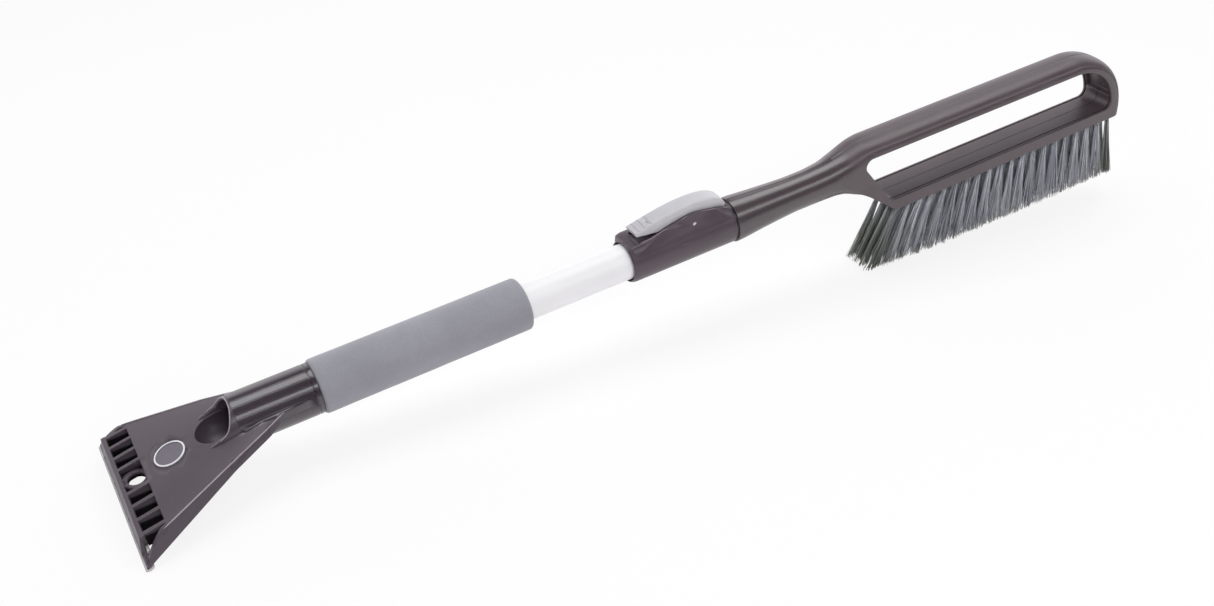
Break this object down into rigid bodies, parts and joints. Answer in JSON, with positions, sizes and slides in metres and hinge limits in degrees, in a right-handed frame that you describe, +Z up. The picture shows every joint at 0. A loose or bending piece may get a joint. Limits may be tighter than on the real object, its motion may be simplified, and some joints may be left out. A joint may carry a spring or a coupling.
{
  "type": "snow broom",
  "caption": "Two-in-one snow tool: a loop-handled snow brush locked by a rocker lever on a round handle tube with a foam grip and a fan-shaped ice scraper.",
  "frame": {"origin": "centre of the bounding box at the ground, with the tool standing on its scraper blade and its lowest bristle tips", "axes": "+X along the tool from the scraper to the brush, +Y across the scraper blade, +Z up, away from the bristle tips; the handle tube rises about 6 degrees towards the brush"},
  "size_m": [0.7132, 0.1062, 0.1165],
  "materials": {
    "dark_plastic": "satin, moulded",
    "grip_foam": "fine closed-cell foam",
    "white_tube": "smooth gloss coating",
    "lever_grey": "satin silver grey",
    "blade_grey": "smooth",
    "badge_plain": "plain satin disc",
    "bristles": "stiff synthetic filament",
    "black_plastic": "moulded",
    "steel": "turned",
    "pad_rubber": "matt"
  },
  "bodies": {
    "brush": {"brush_frame": "dark_plastic", "bristle_row_1": "bristles", "bristle_row_2": "bristles", "bristle_row_3": "bristles", "bristle_row_4": "bristles", "lock_collar": "dark_plastic", "mouth_bush": "black_plastic", "joint_ring": "black_plastic", "collar_pin_near": "steel", "collar_pin_far": "steel", "lever_pin": "steel", "lever_spring": "steel"},
    "shaft": {"shaft_tube": "white_tube", "tube_front_plug": "dark_plastic", "tube_end_plug": "black_plastic", "grip_sleeve": "grip_foam", "scraper_head": "dark_plastic", "scraper_blade": "blade_grey", "badge_disc": "badge_plain", "head_screw": "steel"},
    "lever": {"lock_lever": "lever_grey", "brake_pad": "pad_rubber"}
  },
  "joints": [
    {"name": "shaft_draw", "type": "slide", "parent": "brush", "child": "shaft", "axis": [-0.9941, 0, -0.1085], "range_m": [0, 0.095]},
    {"name": "lever_rock", "type": "hinge", "parent": "brush", "child": "lever", "pos_m": [-0.01246, 0, 0.07739], "axis": [0, -1, 0], "range_deg": [0, 5], "stiffness_Nm_per_rad": 0.4, "springref_deg": -8.59, "deforming": ["lever_spring"]}
  ]
}
